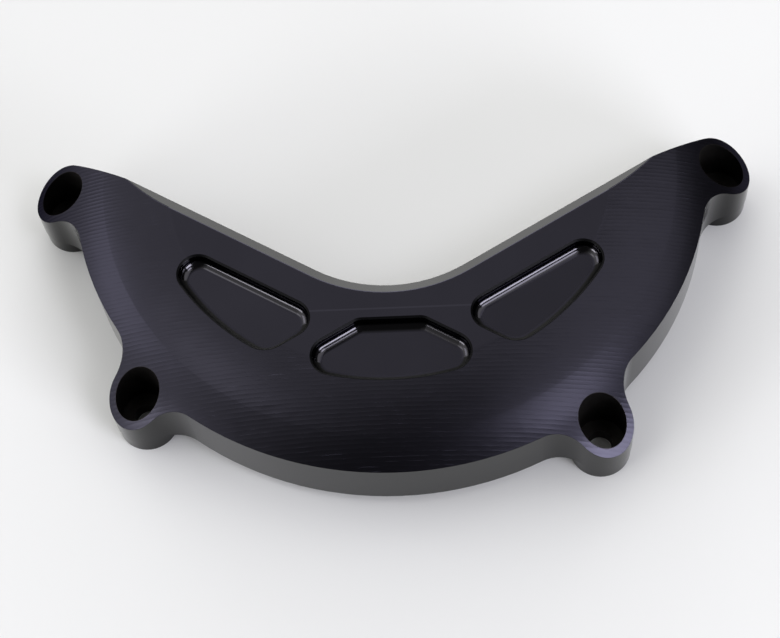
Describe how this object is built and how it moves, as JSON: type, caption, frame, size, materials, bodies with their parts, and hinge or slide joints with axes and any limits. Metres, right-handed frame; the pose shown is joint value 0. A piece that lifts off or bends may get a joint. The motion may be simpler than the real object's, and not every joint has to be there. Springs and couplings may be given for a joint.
{
  "type": "engine case slider",
  "caption": "Half-moon billet slider that bolts over a round engine cover to protect it, with a V-shaped inner side, a rolled outer edge and shallow pockets.",
  "frame": {"origin": "middle of the part's length and width, in the plane of its four feet", "axes": "+X along the part's length, +Y towards the open side of its V, +Z outward, away from the engine"},
  "size_m": [0.2028, 0.0976, 0.0305],
  "materials": {
    "black_anodised": "black anodised, satin, with fine milling lines on the rolled edge"
  },
  "bodies": {
    "root": {"case_slider": "black_anodised"}
  },
  "joints": []
}
